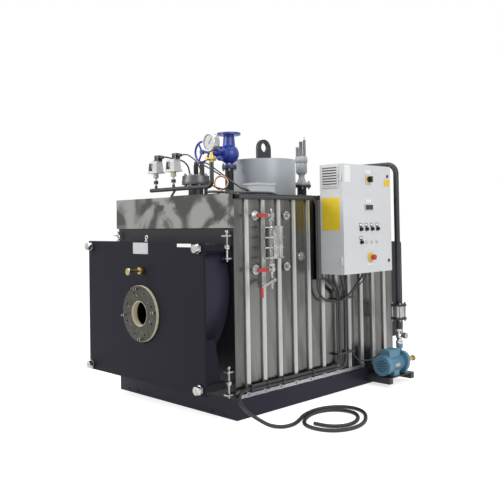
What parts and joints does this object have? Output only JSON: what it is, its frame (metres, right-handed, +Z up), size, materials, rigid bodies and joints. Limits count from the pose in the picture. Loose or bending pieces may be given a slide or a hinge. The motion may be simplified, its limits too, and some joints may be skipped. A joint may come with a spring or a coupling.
{
  "type": "industrial steam boiler",
  "caption": "Packaged fire-tube steam boiler on a skid with burner door, steam dome, valves, level gauge, feed pump and control cabinet.",
  "frame": {"origin": "centre of the base at floor level, on the underside of the middle cross member", "axes": "+Y runs from the burner door to the rear, +X to the side with the control cabinet, +Z up"},
  "size_m": [2.0055, 2.468, 2.027],
  "materials": {
    "navy_paint": "satin",
    "black_paint": "satin",
    "grey_paint": "satin",
    "blue_paint": "gloss",
    "pump_blue": "satin",
    "stainless_sheet": "polished",
    "stainless_bar": "brushed",
    "chrome": "polished",
    "raw_steel": "satin",
    "boiler_plate": "matte",
    "lining": "matte",
    "brass": "satin",
    "red_plastic": "gloss",
    "black_plastic": "matte",
    "glass": "clear",
    "white_dial": "gloss",
    "hose_plastic": "matte",
    "zinc": "satin"
  },
  "bodies": {
    "boiler": {"base_frame": "navy_paint", "shell_barrel": "boiler_plate", "front_tube_plate": "boiler_plate", "furnace": "boiler_plate", "smoke_tubes": "boiler_plate", "smoke_box": "navy_paint", "casing_front": "black_paint", "casing_left": "stainless_sheet", "casing_right": "stainless_sheet", "casing_top": "stainless_sheet", "casing_rear": "stainless_sheet", "front_band": "stainless_sheet", "rear_smoke_box": "navy_paint", "dome_jacket": "grey_paint", "lifting_lug": "black_paint", "steam_valve": "blue_paint", "top_nozzles": "black_paint", "safety_valve_body": "raw_steel", "safety_valve_cap": "chrome", "probe_pot": "raw_steel", "level_probes": "black_plastic", "manifold": "black_paint", "pressure_switches": "grey_paint", "gauge_cock": "brass", "pressure_gauge": "white_dial", "junction_box": "grey_paint", "cable_trays": "black_paint", "cabinet_body": "grey_paint", "cabinet_plate": "zinc", "level_cocks": "stainless_bar", "level_glass": "glass", "level_guard": "stainless_bar", "pump_console": "black_paint", "pump_motor": "pump_blue", "pump_volute": "pump_blue", "pump_fittings": "brass", "check_valve": "black_paint", "feed_riser": "black_paint", "floor_hose": "hose_plastic", "hose_coil": "hose_plastic", "cables": "black_plastic"},
    "front_door": {"door_plate": "navy_paint", "door_lining": "lining", "burner_flange": "raw_steel", "sight_glass": "brass", "clamp_bolts": "chrome"},
    "cabinet_door": {"cabinet_door": "grey_paint", "door_controls": "black_plastic"},
    "steam_handwheel": {"steam_handwheel": "blue_paint"},
    "feed_valve_knob": {"feed_valve_knob": "black_plastic"},
    "upper_lever": {"upper_lever": "red_plastic"},
    "lower_lever": {"lower_lever": "red_plastic"},
    "drain_lever": {"drain_lever": "red_plastic"},
    "isolator_knob": {"isolator_knob": "red_plastic"},
    "estop_button": {"estop_button": "red_plastic"},
    "selector_1": {"selector_1": "black_plastic"},
    "selector_2": {"selector_2": "black_plastic"},
    "selector_3": {"selector_3": "black_plastic"},
    "selector_4": {"selector_4": "black_plastic"},
    "selector_5": {"selector_5": "black_plastic"}
  },
  "joints": [
    {"name": "front_door_hinge", "type": "hinge", "parent": "boiler", "child": "front_door", "pos_m": [0.6205, -0.933, 0.6865], "axis": [0, 0, 1], "range_deg": [0, 100]},
    {"name": "cabinet_door_hinge", "type": "hinge", "parent": "boiler", "child": "cabinet_door", "pos_m": [0.8843, -0.061, 1.303], "axis": [0, 0, -1], "range_deg": [0, 120]},
    {"name": "steam_valve_spindle", "type": "hinge", "parent": "boiler", "child": "steam_handwheel", "pos_m": [0, -0.597, 1.826], "axis": [0, 1, 0], "continuous": true},
    {"name": "feed_valve_spindle", "type": "hinge", "parent": "boiler", "child": "feed_valve_knob", "pos_m": [0.858, 0.752, 0.372], "axis": [1, 0, 0], "continuous": true},
    {"name": "upper_cock", "type": "hinge", "parent": "boiler", "child": "upper_lever", "pos_m": [0.732, -0.663, 1.335], "axis": [1, 0, 0], "range_deg": [0, 90]},
    {"name": "lower_cock", "type": "hinge", "parent": "boiler", "child": "lower_lever", "pos_m": [0.732, -0.663, 0.971], "axis": [-1, 0, 0], "range_deg": [0, 90]},
    {"name": "drain_cock", "type": "hinge", "parent": "boiler", "child": "drain_lever", "pos_m": [0.732, -0.613, 0.9], "axis": [1, 0, 0], "range_deg": [0, 90]},
    {"name": "isolator_switch", "type": "hinge", "parent": "cabinet_door", "child": "isolator_knob", "pos_m": [0.9043, 0.255, 1.596], "axis": [1, 0, 0], "range_deg": [0, 90]},
    {"name": "estop_push", "type": "slide", "parent": "cabinet_door", "child": "estop_button", "axis": [-1, 0, 0], "range_m": [0, 0.006]},
    {"name": "selector_1_turn", "type": "hinge", "parent": "cabinet_door", "child": "selector_1", "pos_m": [0.9043, 0.149, 1.228], "axis": [1, 0, 0], "range_deg": [-45, 45]},
    {"name": "selector_2_turn", "type": "hinge", "parent": "cabinet_door", "child": "selector_2", "pos_m": [0.9043, 0.218, 1.228], "axis": [1, 0, 0], "range_deg": [-45, 45]},
    {"name": "selector_3_turn", "type": "hinge", "parent": "cabinet_door", "child": "selector_3", "pos_m": [0.9043, 0.287, 1.228], "axis": [1, 0, 0], "range_deg": [-45, 45]},
    {"name": "selector_4_turn", "type": "hinge", "parent": "cabinet_door", "child": "selector_4", "pos_m": [0.9043, 0.356, 1.228], "axis": [1, 0, 0], "range_deg": [-45, 45]},
    {"name": "selector_5_turn", "type": "hinge", "parent": "cabinet_door", "child": "selector_5", "pos_m": [0.9043, 0.152, 1.132], "axis": [1, 0, 0], "range_deg": [-45, 45]}
  ]
}
